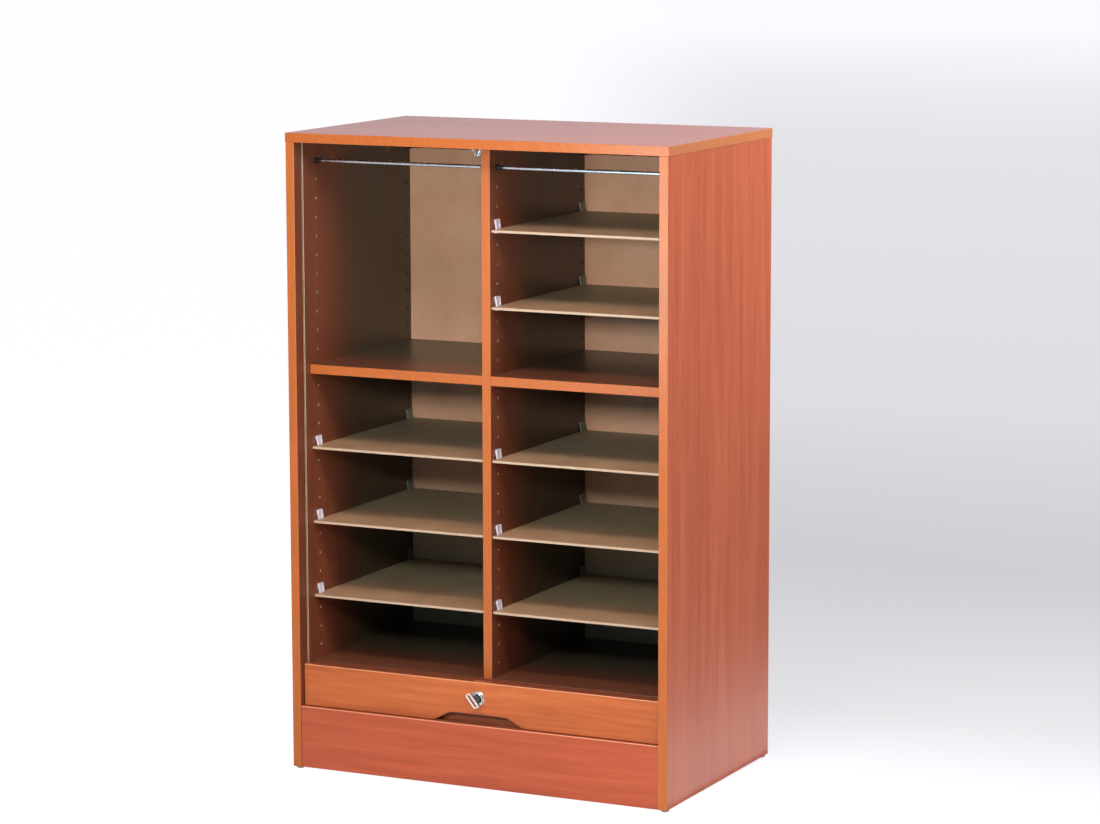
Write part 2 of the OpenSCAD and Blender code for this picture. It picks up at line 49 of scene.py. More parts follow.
class Tree:
    """A short way to write a node tree."""

    def __init__(self, name):
        self.mat = bpy.data.materials.new(name)
        self.mat.use_nodes = True
        self.nt = self.mat.node_tree
        self.nt.nodes.clear()
        self.out = self.nt.nodes.new("ShaderNodeOutputMaterial")
        self.bsdf = self.nt.nodes.new("ShaderNodeBsdfPrincipled")
        self.nt.links.new(self.bsdf.outputs["BSDF"], self.out.inputs["Surface"])
        self.tc = self.nt.nodes.new("ShaderNodeTexCoord")

    def link(self, a, b):
        self.nt.links.new(a, b)

    def put(self, sock, value):
        """Links a socket, or writes a plain value."""
        if isinstance(value, bpy.types.NodeSocket):
            self.nt.links.new(value, sock)
        else:
            sock.default_value = value

    def pos(self):
        return self.tc.outputs["Object"]

    def normal(self):
        return self.tc.outputs["Normal"]

    def xyz(self, v):
        n = self.nt.nodes.new("ShaderNodeSeparateXYZ")
        self.link(v, n.inputs[0])
        return n.outputs[0], n.outputs[1], n.outputs[2]

    def vec(self, x, y, z):
        n = self.nt.nodes.new("ShaderNodeCombineXYZ")
        for s, v in zip(n.inputs, (x, y, z)):
            self.put(s, v)
        return n.outputs[0]

    def math(self, op, a, b=0.0, c=0.0, clamp=False):
        n = self.nt.nodes.new("ShaderNodeMath")
        n.operation = op
        n.use_clamp = clamp
        for s, v in zip(n.inputs, (a, b, c)):
            self.put(s, v)
        return n.outputs[0]

    def vmul(self, v, k):
        n = self.nt.nodes.new("ShaderNodeVectorMath")
        n.operation = "MULTIPLY"
        self.put(n.inputs[0], v)
        n.inputs[1].default_value = k
        return n.outputs[0]

    def vadd(self, v, k):
        n = self.nt.nodes.new("ShaderNodeVectorMath")
        n.operation = "ADD"
        self.put(n.inputs[0], v)
        self.put(n.inputs[1], k)
        return n.outputs[0]

    def noise(self, v, scale=1.0, detail=2.0, rough=0.5, distort=0.0):
        n = self.nt.nodes.new("ShaderNodeTexNoise")
        self.put(n.inputs["Vector"], v)
        n.inputs["Scale"].default_value = scale
        n.inputs["Detail"].default_value = detail
        n.inputs["Roughness"].default_value = rough
        n.inputs["Distortion"].default_value = distort
        return n.outputs["Fac"]

    def voronoi(self, v, scale=1.0, feature="F1", out="Distance", random=1.0):
        n = self.nt.nodes.new("ShaderNodeTexVoronoi")
        n.feature = feature
        self.put(n.inputs["Vector"], v)
        n.inputs["Scale"].default_value = scale
        n.inputs["Randomness"].default_value = random
        return n.outputs[out]

    def wave(self, v, scale, axis="X", profile="SIN"):
        n = self.nt.nodes.new("ShaderNodeTexWave")
        n.wave_type = "BANDS"
        n.bands_direction = axis
        n.wave_profile = profile
        self.put(n.inputs["Vector"], v)
        n.inputs["Scale"].default_value = scale
        return n.outputs["Fac"]

    def ramp(self, fac, stops, interp="LINEAR"):
        n = self.nt.nodes.new("ShaderNodeValToRGB")
        n.color_ramp.interpolation = interp
        self.put(n.inputs[0], fac)
        e = n.color_ramp.elements
        while len(e) < len(stops):
            e.new(0.5)
        for el, (p, c) in zip(e, stops):
            el.position = p
            el.color = c if len(c) == 4 else (*c, 1.0)
        return n.outputs[0]

    def span(self, v, lo, hi, a=0.0, b=1.0, smooth=False):
        n = self.nt.nodes.new("ShaderNodeMapRange")
        n.interpolation_type = "SMOOTHSTEP" if smooth else "LINEAR"
        n.clamp = True
        self.put(n.inputs["Value"], v)
        n.inputs["From Min"].default_value = lo
        n.inputs["From Max"].default_value = hi
        n.inputs["To Min"].default_value = a
        n.inputs["To Max"].default_value = b
        return n.outputs["Result"]

    def mix(self, fac, a, b, blend="MIX"):
        n = self.nt.nodes.new("ShaderNodeMix")
        n.data_type = "RGBA"
        n.blend_type = blend
        n.clamp_factor = True
        self.put(n.inputs["Factor"], fac)
        ins = [s for s in n.inputs if s.type == "RGBA"]
        self.put(ins[0], a)
        self.put(ins[1], b)
        return [s for s in n.outputs if s.type == "RGBA"][0]

    def bump(self, height, strength, distance):
        n = self.nt.nodes.new("ShaderNodeBump")
        n.inputs["Strength"].default_value = strength
        n.inputs["Distance"].default_value = distance
        self.put(n.inputs["Height"], height)
        self.link(n.outputs[0], self.bsdf.inputs["Normal"])
        return n

    def set(self, **kw):
        for k, v in kw.items():
            self.put(self.bsdf.inputs[k.replace("_", " ")], v)
        return self


GREY = lambda v: (v, v, v, 1.0)

# --------------------------------------------------------------------------- cherry board
# Printed cherry foil on chipboard: fine streaks along the grain, soft broad bands, small dark pores.
# grain is the axis that the streaks run along; thick is the board's thickness axis.
# bands are planes of taped edges: (axis, value in metres).


def cherry(name, grain, thick, bands, base, light, dark, band, seed=0.0, wavy=0.004, streak=1.0,
           rough=0.34, fine=1.0, inner=None, brown=(0.430, 0.495, 0.550), ends=None, arris=None):
    t = Tree(name)
    p = t.vadd(t.pos(), (seed * 0.37, seed * 0.53, seed * 0.71))
    x, y, z = t.xyz(p)
    along = {"X": x, "Y": y, "Z": z}[grain]
    # a slow wander of the grain across its own direction
    low = t.noise(t.vmul(p, tuple(3.2 if a == grain else 7.0 for a in "XYZ")), 1.0, 2.0, 0.5)
    wander = t.math("MULTIPLY", t.math("SUBTRACT", low, 0.5), wavy * 2.0)
    wp = t.vadd(p, t.vec(*[0.0 if a == grain else wander for a in "XYZ"]))

    def st(across, lengthwise):
        return t.vmul(wp, tuple(lengthwise if a == grain else across for a in "XYZ"))

    broad = t.noise(st(22.0, 1.4), 1.0, 2.0, 0.5)
    mid = t.noise(st(95.0 * fine, 3.6), 1.0, 3.0, 0.55)
    thin = t.noise(st(330.0 * fine, 7.5), 1.0, 3.0, 0.6)
    pore = t.noise(st(900.0 * fine, 30.0), 1.0, 1.0, 0.5)
    tone = t.math("ADD", t.math("MULTIPLY", mid, 0.52), t.math("MULTIPLY", thin, 0.30))
    tone = t.math("ADD", tone, t.math("MULTIPLY", broad, 0.30))
    face = t.ramp(t.span(tone, 0.56 - 0.17 / streak, 0.56 + 0.17 / streak),
                  [(0.0, dark), (0.48, base), (1.0, light)])
    pores = t.span(pore, 0.30, 0.42, 1.0, 0.0)
    face = t.mix(t.math("MULTIPLY", pores, 0.16), face, (dark[0] * 0.55, dark[1] * 0.5, dark[2] * 0.5, 1.0))
    # taped edges: the same print, calmer and a little more orange
    b_tone = t.noise(t.vmul(p, (210.0 if thick == "Z" else 60.0, 60.0, 9.0 if grain == "Z" else 120.0)), 1.0, 3.0, 0.55)
    tape = t.mix(t.span(b_tone, 0.34, 0.68), tuple(c * 0.93 for c in band[:3]) + (1.0,),
                 tuple(min(1.0, c * 1.07) for c in band[:3]) + (1.0,))
    nx, ny, nz = t.xyz(t.normal())
    ox, oy, oz = t.xyz(t.pos())
    if ends is not None:
        tape = t.mix(t.span(t.math("ABSOLUTE", nx), 0.60, 0.72), tape,
                     t.mix(t.span(b_tone, 0.34, 0.68), tuple(c * 0.93 for c in ends[:3]) + (1.0,), ends))
    # raw chipboard in drilled holes, grooves and the edges that nothing covers
    chip_a = t.voronoi(t.vmul(p, (1.0, 1.0, 1.0)), 520.0, out="Color")
    chip_r, _, _ = t.xyz(chip_a)
    grit = t.noise(p, 900.0, 3.0, 0.6)
    chip = t.ramp(t.math("ADD", t.math("MULTIPLY", chip_r, 0.6), t.math("MULTIPLY", grit, 0.4)),
                  [(0.15, lin(176, 142, 104)), (0.5, lin(222, 190, 148)), (0.85, lin(246, 224, 188))])
    if inner is not None and thick == "X":
        # painted shade in the drilled pin holes, darkest in the rear ones
        hole_shade = t.ramp(t.span(oy, FRONT + 0.06, FRONT + 0.42), [(0.0, (0.50, 0.46, 0.42)), (0.35, (0.34, 0.28, 0.22)), (0.9, (0.10, 0.07, 0.05))])
        chip = t.mix(t.span(oy, FRONT + 0.404, FRONT + 0.408, 1.0, 0.0), chip, t.mix(1.0, chip, hole_shade, "MULTIPLY"))
    n_thick = t.math("ABSOLUTE", {"X": nx, "Y": ny, "Z": nz}[thick])
    is_face = t.span(n_thick, 0.60, 0.72)
    is_band = None
    for axis, value in bands:
        d = t.math("ABSOLUTE", t.math("SUBTRACT", {"X": ox, "Y": oy, "Z": oz}[axis], value))
        m = t.span(d, 0.0010, 0.0014, 1.0, 0.0)
        is_band = m if is_band is None else t.math("MAXIMUM", is_band, m)
    # painted shade: faces turned to the bays are painted darker and browner, and darker and less red still towards the
    # back; inner is (axis, lowest value, highest value)
    if inner is not None:
        axis, low_end, high_end = inner
        v = {"X": ox, "Y": oy, "Z": oz}[axis]
        inside = t.math("MULTIPLY", t.span(v, low_end - 0.0004, low_end, 0.0, 1.0), t.span(v, high_end, high_end + 0.0004, 1.0, 0.0))
        painted_back_shade = t.span(oy, FRONT + 0.090, FRONT + 0.240, smooth=True)
        inside_shade = t.mix(painted_back_shade, (*brown, 1.0), (brown[0] * 0.37, brown[1] * 0.97, brown[2] * 1.18, 1.0))
        face = t.mix(inside, face, t.mix(1.0, face, inside_shade, "MULTIPLY"))
    side = chip if is_band is None else t.mix(is_band, chip, tape)
    col = t.mix(is_face, side, face)
    # a painted highlight: a lighter line along the upper front arris; arris is (front face, top edge, colour)
    if arris is not None:
        arris_highlight = t.math("MULTIPLY", t.span(t.math("SUBTRACT", oy, arris[0]), 0.0016, 0.0024, 1.0, 0.0),
                      t.span(t.math("SUBTRACT", arris[1], oz), 0.0012, 0.0018, 1.0, 0.0))
        col = t.mix(arris_highlight, col, arris[2])
    t.set(Base_Color=col)
    r = t.math("ADD", rough, t.math("MULTIPLY", t.math("SUBTRACT", mid, 0.5), 0.16))
    covered = t.math("MAXIMUM", is_face, is_band) if is_band is not None else is_face
    t.set(Roughness=t.math("ADD", t.math("MULTIPLY", covered, t.math("SUBTRACT", r, 0.85)), 0.85, clamp=True))
    t.bsdf.inputs["IOR"].default_value = 1.5
    h = t.math("ADD", t.math("MULTIPLY", thin, 0.6), t.math("MULTIPLY", pores, -0.5))
    t.bump(t.math("ADD", h, t.math("MULTIPLY", t.math("SUBTRACT", 1.0, covered), t.math("MULTIPLY", grit, 6.0))),
           0.10, 0.0004)
    return t.mat


# --------------------------------------------------------------------------- other materials


def hardboard(name, base, dark, light, edge=None, edge_axis="Y", edge_at=0.0, rough=0.55, painted_back_shade=None, low=None):
    """Thin pressed board: short fibres lying every way, a painted front edge where edge is given."""
    t = Tree(name)
    p = t.pos()
    fib_a = t.noise(t.vmul(p, (150.0, 900.0, 900.0)), 1.0, 3.0, 0.6)
    fib_b = t.noise(t.vmul(p, (900.0, 150.0, 900.0)), 1.0, 3.0, 0.6)
    cloud = t.noise(p, 14.0, 3.0, 0.55)
    tone = t.math("ADD", t.math("MULTIPLY", t.math("MAXIMUM", fib_a, fib_b), 0.55), t.math("MULTIPLY", cloud, 0.45))
    col = t.ramp(t.span(tone, 0.30, 0.78), [(0.0, dark), (0.5, base), (1.0, light)])
    speck = t.span(t.noise(p, 1500.0, 1.0, 0.5), 0.24, 0.34, 1.0, 0.0)
    col = t.mix(t.math("MULTIPLY", speck, 0.35), col, tuple(c * 0.45 for c in dark[:3]) + (1.0,))
    if painted_back_shade is not None:
        # painted shade: the rear part of the board is painted darker and less red
        _, py, _ = t.xyz(p)
        col = t.mix(t.span(py, FRONT + 0.095, FRONT + 0.225, smooth=True), col, t.mix(1.0, col, painted_back_shade, "MULTIPLY"))
    if low is not None:
        # painted shade: the foot of a standing board is painted darker and less red than the rest
        _, _, pz = t.xyz(p)
        col = t.mix(t.span(pz, 0.225, 0.47, 1.0, 0.0), col, t.mix(1.0, col, low, "MULTIPLY"))
    if edge is not None:
        o = dict(zip("XYZ", t.xyz(t.pos())))[edge_axis]
        n = dict(zip("XYZ", t.xyz(t.normal())))[edge_axis]
        m = t.math("MULTIPLY", t.span(t.math("ABSOLUTE", n), 0.35, 0.6),
                   t.span(t.math("ABSOLUTE", t.math("SUBTRACT", o, edge_at)), 0.0012, 0.0018, 1.0, 0.0))
        flecks = t.mix(t.span(t.noise(p, 420.0, 3.0, 0.6), 0.3, 0.7), tuple(c * 0.93 for c in edge[:3]) + (1.0,), edge)
        col = t.mix(m, col, flecks)
    t.set(Base_Color=col, Roughness=t.span(cloud, 0.3, 0.7, rough - 0.06, rough + 0.06))
    t.bump(tone, 0.12, 0.0004)
    return t.mat


def plastic(name, base, rough=0.35, mottled=0.06, grain=0.05, transmission=0.0, subsurface=0.0):
    t = Tree(name)
    p = t.pos()
    a = t.noise(p, 60.0, 2.0, 0.5)
    col = t.mix(t.span(a, 0.3, 0.7), tuple(max(0.0, c * (1 - mottled)) for c in base[:3]) + (1.0,),
                tuple(min(1.0, c * (1 + mottled)) for c in base[:3]) + (1.0,))
    t.set(Base_Color=col, Roughness=t.span(t.noise(p, 240.0, 2.0, 0.5), 0.3, 0.7, rough - 0.05, rough + 0.07))
    t.bsdf.inputs["Transmission Weight"].default_value = transmission
    t.bsdf.inputs["Subsurface Weight"].default_value = subsurface
    if subsurface:
        t.bsdf.inputs["Subsurface Radius"].default_value = (0.004, 0.004, 0.004)
        t.bsdf.inputs["Subsurface Scale"].default_value = 1.0
    t.bump(t.noise(p, 1800.0, 2.0, 0.6), grain, 0.0003)
    return t.mat


def metal(name, base, rough, brushed=None, spread=0.05):
    t = Tree(name)
    p = t.pos()
    if brushed:
        k = tuple(40.0 if a == brushed else 2600.0 for a in "XYZ")
        n = t.noise(t.vmul(p, k), 1.0, 3.0, 0.6)
    else:
        n = t.noise(p, 700.0, 3.0, 0.6)
    smear = t.noise(p, 90.0, 3.0, 0.6)
    col = t.mix(t.span(smear, 0.3, 0.7), tuple(c * 0.93 for c in base[:3]) + (1.0,), base)
    t.set(Base_Color=col, Roughness=t.math("ADD", t.span(n, 0.3, 0.7, rough - spread * 0.5, rough + spread * 0.5),
                                           t.span(smear, 0.4, 0.7, 0.0, spread)))
    t.bsdf.inputs["Metallic"].default_value = 1.0
    t.bump(n, 0.04, 0.0002)
    return t.mat


def cam_mat():
    """Die-cast cam with a brown cap pressed over the end that shows in the side panel."""
    t = Tree("cam_with_cap")
    p = t.pos()
    nx, ny, nz = t.xyz(t.normal())
    cap = t.span(t.math("ABSOLUTE", nx), 0.90, 0.96)
    n = t.noise(p, 500.0, 3.0, 0.6)
    zinc = t.mix(t.span(n, 0.3, 0.7), (0.56, 0.57, 0.58, 1.0), (0.66, 0.67, 0.69, 1.0))
    brown = t.mix(t.span(t.noise(p, 90.0, 2.0, 0.5), 0.3, 0.7), (0.215, 0.058, 0.026, 1.0), (0.255, 0.072, 0.034, 1.0))
    t.set(Base_Color=t.mix(cap, zinc, brown), Metallic=t.math("SUBTRACT", 1.0, cap),
          Roughness=t.span(n, 0.3, 0.7, 0.36, 0.46))
    t.bump(n, 0.05, 0.0002)
    return t.mat


def weave(name, a, b, pitch=0.0009):
    """Coarse plain weave for the curtain's backing cloth, laid in the X-Z plane."""
    t = Tree(name)
    p = t.pos()
    wob = t.vec(t.math("MULTIPLY", t.math("SUBTRACT", t.noise(p, 60.0, 2.0, 0.5), 0.5), 0.0006), 0.0,
                t.math("MULTIPLY", t.math("SUBTRACT", t.noise(t.vadd(p, (3.0, 0.0, 0.0)), 60.0, 2.0, 0.5), 0.5), 0.0006))
    q = t.vadd(p, wob)
    k = math.pi / pitch
    x, y, z = t.xyz(q)
    sx = t.math("ABSOLUTE", t.math("SINE", t.math("MULTIPLY", x, k)))
    sz = t.math("ABSOLUTE", t.math("SINE", t.math("MULTIPLY", z, k)))
    ax = t.math("FLOOR", t.math("MULTIPLY", x, 1.0 / pitch))
    az = t.math("FLOOR", t.math("MULTIPLY", z, 1.0 / pitch))
    odd = t.math("MODULO", t.math("ABSOLUTE", t.math("ADD", ax, az)), 2.0)
    h = t.math("ADD", t.math("MULTIPLY", odd, sx), t.math("MULTIPLY", t.math("SUBTRACT", 1.0, odd), sz))
    fleck = t.noise(p, 500.0, 3.0, 0.6)
    col = t.mix(t.math("ADD", t.math("MULTIPLY", h, 0.7), t.math("MULTIPLY", fleck, 0.3), clamp=True), a, b)
    t.set(Base_Color=col, Roughness=t.span(fleck, 0.3, 0.7, 0.82, 0.95))
    t.bsdf.inputs["Sheen Weight"].default_value = 0.25
    t.bump(h, 0.35, 0.0003)
    return t.mat


# --------------------------------------------------------------------------- colours

C_BASE = (0.423, 0.094, 0.039, 1.0)
C_LIGHT = (0.490, 0.119, 0.054, 1.0)
C_DARK = (0.355, 0.0745, 0.030, 1.0)
C_BAND = (0.562, 0.146, 0.031, 1.0)

SIDE_X = 0.350
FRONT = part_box("left_side_panel")[0].y
TOP_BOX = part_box("top_panel")

IN_X = 0.3345
# inner and brown give the painted shade of the faces turned to the bays: where it lies and how dark it is
m_side = cherry("cherry_side", "Z", "X", [("Y", FRONT)], C_BASE, C_LIGHT, C_DARK, C_BAND, seed=1.0,
                inner=("X", -IN_X, IN_X))
m_div = cherry("cherry_divider", "Z", "X", [("Y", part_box("centre_divider")[0].y)], C_BASE, C_LIGHT, C_DARK, C_BAND,
               seed=2.3, inner=("X", -IN_X, IN_X))
m_top = cherry("cherry_top", "X", "Z", [("Y", TOP_BOX[0].y), ("X", TOP_BOX[0].x), ("X", TOP_BOX[1].x)],
               C_BASE, C_LIGHT, C_DARK, C_BAND, seed=3.1, rough=0.24, inner=("Z", 0.0, TOP_BOX[0].z + 0.0005), brown=(0.442, 0.638, 0.785),
               ends=(0.475, 0.160, 0.056, 1.0))
# the floor panel's front tape is painted dark: painted shade behind the lead rail
m_floor = cherry("cherry_floor", "X", "Z", [("Y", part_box("floor_panel")[0].y)], C_BASE, C_LIGHT, C_DARK, (0.215, 0.0525, 0.025, 1.0),
                 seed=4.7, inner=("Z", 0.0, 0.5), brown=(0.442, 0.638, 0.785))
m_shelf = cherry("cherry_shelf", "X", "Z", [("Y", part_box("fixed_shelf_left")[0].y)], C_BASE, C_LIGHT, C_DARK, C_BAND,
                 seed=5.9, inner=("Z", 0.0, 1.0), brown=(0.442, 0.638, 0.785))
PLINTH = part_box("plinth")
m_plinth = cherry("cherry_plinth", "X", "Y", [("Z", PLINTH[1].z)],
                  (0.533, 0.0985, 0.0372, 1.0), (0.618, 0.129, 0.0505, 1.0), (0.437, 0.0785, 0.0286, 1.0),
                  (0.310, 0.070, 0.029, 1.0), seed=7.7, wavy=0.010, fine=0.9,
                  arris=(PLINTH[0].y, PLINTH[1].z, (0.82, 0.33, 0.19, 1.0)))
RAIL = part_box("lead_rail")
m_rail = cherry("cherry_rail", "X", "Y", [("Z", RAIL[1].z), ("Z", RAIL[0].z)],
                (0.580, 0.136, 0.0335, 1.0), (0.682, 0.182, 0.0465, 1.0), (0.438, 0.0945, 0.0223, 1.0),
                (0.310, 0.070, 0.029, 1.0), seed=11.3, wavy=0.012, fine=1.1,
                arris=(RAIL[0].y, RAIL[1].z, (0.82, 0.33, 0.16, 1.0)))


def slat_mat():
    t = Tree("cherry_slat")
    p = t.pos()
    x, y, z = t.xyz(p)
    idx = t.math("FLOOR", t.math("MULTIPLY", z, 1.0 / 0.0215))
    shift = t.vec(t.math("MULTIPLY", idx, 0.731), 0.0, 0.0)
    q = t.vadd(p, shift)
    mid = t.noise(t.vmul(q, (5.0, 240.0, 240.0)), 1.0, 3.0, 0.6)
    thin = t.noise(t.vmul(q, (12.0, 900.0, 900.0)), 1.0, 3.0, 0.6)
    tone = t.math("ADD", t.math("MULTIPLY", mid, 0.6), t.math("MULTIPLY", thin, 0.4))
    wn = t.nt.nodes.new("ShaderNodeTexWhiteNoise")
    wn.noise_dimensions = "1D"
    t.link(idx, wn.inputs["W"])
    tone = t.math("ADD", tone, t.math("MULTIPLY", t.math("SUBTRACT", wn.outputs["Value"], 0.5), 0.16))
    col = t.ramp(t.span(tone, 0.34, 0.68), [(0.0, (0.235, 0.062, 0.022, 1.0)), (0.5, (0.330, 0.090, 0.034, 1.0)),
                                            (1.0, (0.410, 0.125, 0.050, 1.0))])
    t.set(Base_Color=col, Roughness=t.span(mid, 0.3, 0.7, 0.36, 0.5))
    t.bump(thin, 0.12, 0.0004)
    return t.mat


m_slat = slat_mat()
TRAY_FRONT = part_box("tray_left_1")[0].y
# the trays carry painted shade towards their rear, and the inner back panel painted shade towards its foot
m_tray = hardboard("tray_hardboard", lin(191, 149, 115), lin(164, 123, 91), lin(210, 171, 137),
                   edge=lin(209, 181, 154), edge_axis="Y", edge_at=TRAY_FRONT, rough=0.50, painted_back_shade=(0.66, 0.98, 1.06, 1.0))
m_back = hardboard("back_hardboard", lin(220, 170, 135), lin(202, 152, 116), lin(233, 188, 154), rough=0.55,
                   low=(0.38, 0.80, 1.05, 1.0))
m_back_out = hardboard("outer_back_hardboard", lin(176, 138, 104), lin(150, 112, 80), lin(196, 160, 126), rough=0.62)
m_beech = hardboard("beech_dowel", lin(222, 184, 134), lin(200, 158, 108), lin(236, 204, 160), rough=0.6)


def clip_mat():
    """Cloudy white plastic with a slight lilac tint, greyer where it is thin; the rear clips are painted darker and
    greener, as painted shade far back in the bays.
    """
    t = Tree("clip_cloudy")
    p = t.pos()
    _, y, _ = t.xyz(p)
    a = t.noise(p, 160.0, 2.0, 0.5)
    front = t.mix(t.span(a, 0.3, 0.7), lin(226, 217, 232), lin(246, 240, 250))
    # the rear clips' colour is painted shade
    rear = t.mix(t.span(a, 0.3, 0.7), lin(116, 119, 106), lin(146, 150, 136))
    t.set(Base_Color=t.mix(t.span(y, FRONT + 0.20, FRONT + 0.36), front, rear),
          Roughness=t.span(t.noise(p, 240.0, 2.0, 0.5), 0.3, 0.7, 0.26, 0.40))
    t.bsdf.inputs["Transmission Weight"].default_value = 0.12
    t.bump(t.noise(p, 1800.0, 2.0, 0.6), 0.05, 0.0003)
    return t.mat


m_clip = clip_mat()
m_black = plastic("black_nylon", lin(26, 26, 28), rough=0.42)
m_grey = plastic("grey_plastic", lin(150, 146, 150), rough=0.45)


def liner_mat():
    """Pale plastic channel with clean lips; the channel inside is painted dark brown, as painted shade in the groove.
    """
    t = Tree("track_liner_plastic")
    p = t.pos()
    x, _, _ = t.xyz(p)
    a = t.noise(p, 60.0, 2.0, 0.5)
    pale = t.mix(t.span(a, 0.3, 0.7), lin(200, 184, 152), lin(214, 198, 168))
    groove_shade = t.mix(t.span(a, 0.3, 0.7), lin(92, 62, 48), lin(112, 78, 60))
    t.set(Base_Color=t.mix(t.span(t.math("ABSOLUTE", x), 0.33460, 0.33530), pale, groove_shade),
          Roughness=t.span(t.noise(p, 240.0, 2.0, 0.5), 0.3, 0.7, 0.36, 0.48))
    t.bump(t.noise(p, 1800.0, 2.0, 0.6), 0.05, 0.0003)
    return t.mat


m_liner = liner_mat()
m_chrome = metal("chrome_rod", (0.68, 0.70, 0.75, 1.0), 0.24, brushed="X")
m_chrome_lock = metal("chrome_lock", (0.78, 0.77, 0.76, 1.0), 0.08)
LOCK_Z = (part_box("lock_rosette")[0].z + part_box("lock_rosette")[1].z) * 0.5


def lock_mat():
    """Chrome, with a black ring of painted shade in the gap between the plug and the rosette."""
    t = Tree("chrome_lock_face")
    p = t.pos()
    x, y, z = t.xyz(p)
    dz = t.math("SUBTRACT", z, LOCK_Z)
    r = t.math("SQRT", t.math("ADD", t.math("MULTIPLY", x, x), t.math("MULTIPLY", dz, dz)))
    gap = t.math("MULTIPLY", t.span(r, 0.0047, 0.0052), t.span(r, 0.0076, 0.0081, 1.0, 0.0))
    n = t.noise(p, 700.0, 3.0, 0.6)
    t.set(Base_Color=t.mix(gap, t.mix(t.span(n, 0.3, 0.7), (0.74, 0.74, 0.77, 1.0), (0.82, 0.81, 0.80, 1.0)), (0.012, 0.012, 0.014, 1.0)),
          Metallic=t.math("SUBTRACT", 1.0, gap), Roughness=t.span(t.math("ADD", t.math("MULTIPLY", n, 0.1), gap), 0.03, 1.07, 0.08, 0.60))
    t.bump(n, 0.04, 0.0002)
    return t.mat


def key_mat():
    """Nickel key: bright bow, with painted shade where the neck goes into the plug and on the edges of the bow's slot.
    """
    t = Tree("nickel_key")
    p = t.pos()
    _, y, _ = t.xyz(p)
    out = t.math("SUBTRACT", RAIL[0].y, y)
    # painted shade darkens the neck nearest the plug
    bright = t.span(out, 0.0125, 0.0135)
    # painted shade on the edges of the bow's slot; the bow's flat faces look up to the right, 51 degrees from level
    nx, _, nz = t.xyz(t.normal())
    a = math.radians(51.0)
    flat = t.math("ABSOLUTE", t.math("ADD", t.math("MULTIPLY", nx, math.sin(a)), t.math("MULTIPLY", nz, math.cos(a))))
    slot_shade = t.math("MULTIPLY", t.span(flat, 0.3, 0.5, 1.0, 0.0), t.math("MULTIPLY", t.span(out, 0.0200, 0.0205), t.span(out, 0.0272, 0.0278, 1.0, 0.0)))
    n = t.noise(p, 900.0, 3.0, 0.6)
    col = t.mix(t.span(n, 0.3, 0.7), (0.88, 0.87, 0.85, 1.0), (0.95, 0.94, 0.92, 1.0))
    col = t.mix(slot_shade, col, (0.060, 0.026, 0.016, 1.0))
    t.set(Base_Color=t.mix(bright, (0.045, 0.042, 0.042, 1.0), col), Metallic=t.span(bright, 0.0, 1.0, 0.9, 0.45),
          Roughness=t.span(n, 0.3, 0.7, 0.28, 0.38))
    t.bump(n, 0.04, 0.0002)
    return t.mat


m_lock = lock_mat()
m_key = key_mat()
m_zinc = metal("zinc_steel", (0.62, 0.63, 0.65, 1.0), 0.30)
m_canvas = weave("canvas_weave", lin(168, 150, 122), lin(214, 198, 168))

MATS = {
    "top_panel": m_top, "left_side_panel": m_side, "right_side_panel": m_side, "centre_divider": m_div,
    "floor_panel": m_floor, "fixed_shelf_left": m_shelf, "fixed_shelf_right": m_shelf, "plinth": m_plinth,
    "inner_back_panel": m_back, "outer_back_panel": m_back_out, "shelf_clips_left": m_clip,
    "shelf_clips_right": m_clip, "file_rods_left": m_chrome, "file_rods_right": m_chrome,
    "rod_sockets": m_black, "glide_feet": m_grey, "strike_plate": m_zinc, "strike_loop": m_chrome_lock,
    "strike_screws": m_zinc, "track_liner_left": m_liner, "track_liner_right": m_liner,
    "wood_dowels": m_beech, "cam_housings": cam_mat(), "cam_bolts": m_zinc, "back_screws": m_zinc,
    "lead_rail": m_rail, "rail_guides": m_black, "guide_screws": m_zinc, "lock_case": m_zinc,
    "lock_case_screws": m_zinc, "lock_rosette": m_lock, "lock_plug": m_lock,
    "lock_hook": m_zinc, "key": m_key,
}
for i in (1, 2, 3):
    MATS["tray_left_%d" % i] = m_tray
for i in (1, 2, 3, 4, 5):
    MATS["tray_right_%d" % i] = m_tray
for i in (1, 2, 3, 4, 5, 6):
    MATS["curtain_slats_%d" % i] = m_slat
    MATS["curtain_canvas_%d" % i] = m_canvas

for name, obj in NODE.items():
    for s in obj.material_slots:
        s.material = MATS[name]
    if not obj.material_slots:
        obj.data.materials.append(MATS[name])

# soft arrises on the boards
BEVEL = {
    "top_panel": 0.0007, "left_side_panel": 0.0006, "right_side_panel": 0.0006, "centre_divider": 0.0005,
    "floor_panel": 0.0005, "fixed_shelf_left": 0.0005, "fixed_shelf_right": 0.0005, "plinth": 0.0008,
    "lead_rail": 0.0009,
}
for i in (1, 2, 3, 4, 5, 6):
    BEVEL["curtain_slats_%d" % i] = 0.0005
for name, w in BEVEL.items():
    obj = NODE[name]
    wd = obj.modifiers.new("weld", "WELD")
    wd.merge_threshold = 0.000002
    bv = obj.modifiers.new("arris", "BEVEL")
    bv.width = w
    bv.segments = 2
    bv.limit_method = "ANGLE"
    bv.angle_limit = math.radians(50)
    bv.use_clamp_overlap = False
    bv.loop_slide = False
    bv.harden_normals = False

# --------------------------------------------------------------------------- camera


